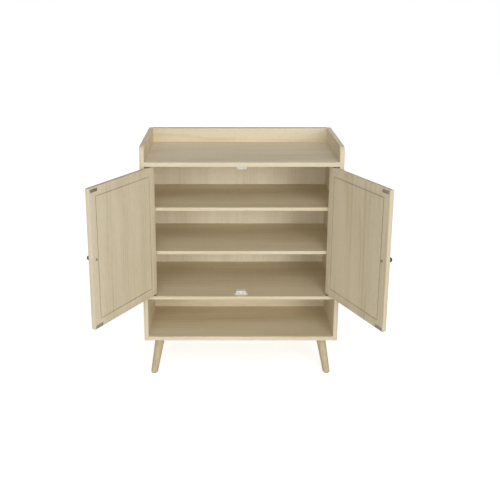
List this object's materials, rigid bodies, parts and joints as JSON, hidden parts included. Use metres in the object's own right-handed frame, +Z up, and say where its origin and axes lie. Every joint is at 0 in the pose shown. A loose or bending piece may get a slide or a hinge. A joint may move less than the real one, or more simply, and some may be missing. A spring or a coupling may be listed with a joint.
{
  "type": "shoe cabinet",
  "caption": "Shoe cabinet with inset doors over shelves, an open compartment below, a raised gallery round its top and splayed tapered legs.",
  "frame": {"origin": "on the floor, under the middle of the outer box of the cabinet with both doors open as at rest, which is 13 mm to the left of the middle of the carcass and 35 mm behind its front plane", "axes": "+X to the right as seen from the front, +Y from the front to the back, +Z up"},
  "size_m": [0.9671, 0.6297, 0.87],
  "materials": {
    "oak_board": "light oak melamine, satin",
    "oak_back": "light oak printed hardboard, satin",
    "leg_wood": "lacquered turned solid wood",
    "beech": "plain fluted beech",
    "strip_plastic": "moulded, matt",
    "white_plastic": "moulded, satin",
    "nylon": "moulded, matt",
    "glide_plastic": "moulded, matt",
    "steel": "bright zinc plated",
    "strike_steel": "nickel plated, dulled",
    "zinc": "zinc, as cast or plated",
    "magnet": "sintered ferrite",
    "knob_finish": "dark blue-black powder coat"
  },
  "bodies": {
    "cabinet": {"back_joint_strip": "strip_plastic", "back_panel_left": "oak_back", "back_panel_nails": "steel", "back_panel_right": "oak_back", "back_rail": "oak_board", "bottom_board": "oak_board", "cam_bolts": "steel", "cam_locks": "zinc", "catch_housing_bottom": "white_plastic", "catch_housing_top": "white_plastic", "catch_magnets": "magnet", "catch_pole_plates": "steel", "catch_screws": "steel", "dowels": "beech", "fixed_shelf": "oak_board", "foot_glides": "glide_plastic", "hinge_pins": "steel", "hinge_plate_bottom_left": "steel", "hinge_plate_bottom_right": "steel", "hinge_plate_screws": "steel", "hinge_plate_top_left": "steel", "hinge_plate_top_right": "steel", "hinge_washers": "nylon", "leg_bolts": "steel", "leg_front_left": "leg_wood", "leg_front_right": "leg_wood", "leg_plate_front_left": "zinc", "leg_plate_front_right": "zinc", "leg_plate_rear_left": "zinc", "leg_plate_rear_right": "zinc", "leg_plate_screws": "steel", "leg_rear_left": "leg_wood", "leg_rear_right": "leg_wood", "lower_back_panel": "oak_board", "lower_back_screws": "steel", "rail_screws": "steel", "shelf_lower": "oak_board", "shelf_pins": "steel", "shelf_upper": "oak_board", "side_panel_left": "oak_board", "side_panel_right": "oak_board", "top_board": "oak_board"},
    "left_door": {"bush_screws_left": "steel", "door_left": "oak_board", "hinge_bushes_left": "steel", "knob_left": "knob_finish", "knob_screw_left": "steel", "strike_plates_left": "strike_steel", "strike_screws_left": "steel"},
    "right_door": {"bush_screws_right": "steel", "door_right": "oak_board", "hinge_bushes_right": "steel", "knob_right": "knob_finish", "knob_screw_right": "steel", "strike_plates_right": "strike_steel", "strike_screws_right": "steel"}
  },
  "joints": [
    {"name": "left_door_hinge", "type": "hinge", "parent": "cabinet", "child": "left_door", "pos_m": [-0.303, -0.0275, 0.562], "axis": [0, 0, -1], "range_deg": [-121.5, 8.5]},
    {"name": "right_door_hinge", "type": "hinge", "parent": "cabinet", "child": "right_door", "pos_m": [0.329, -0.0275, 0.562], "axis": [0, 0, 1], "range_deg": [-115.5, 14.5]}
  ]
}
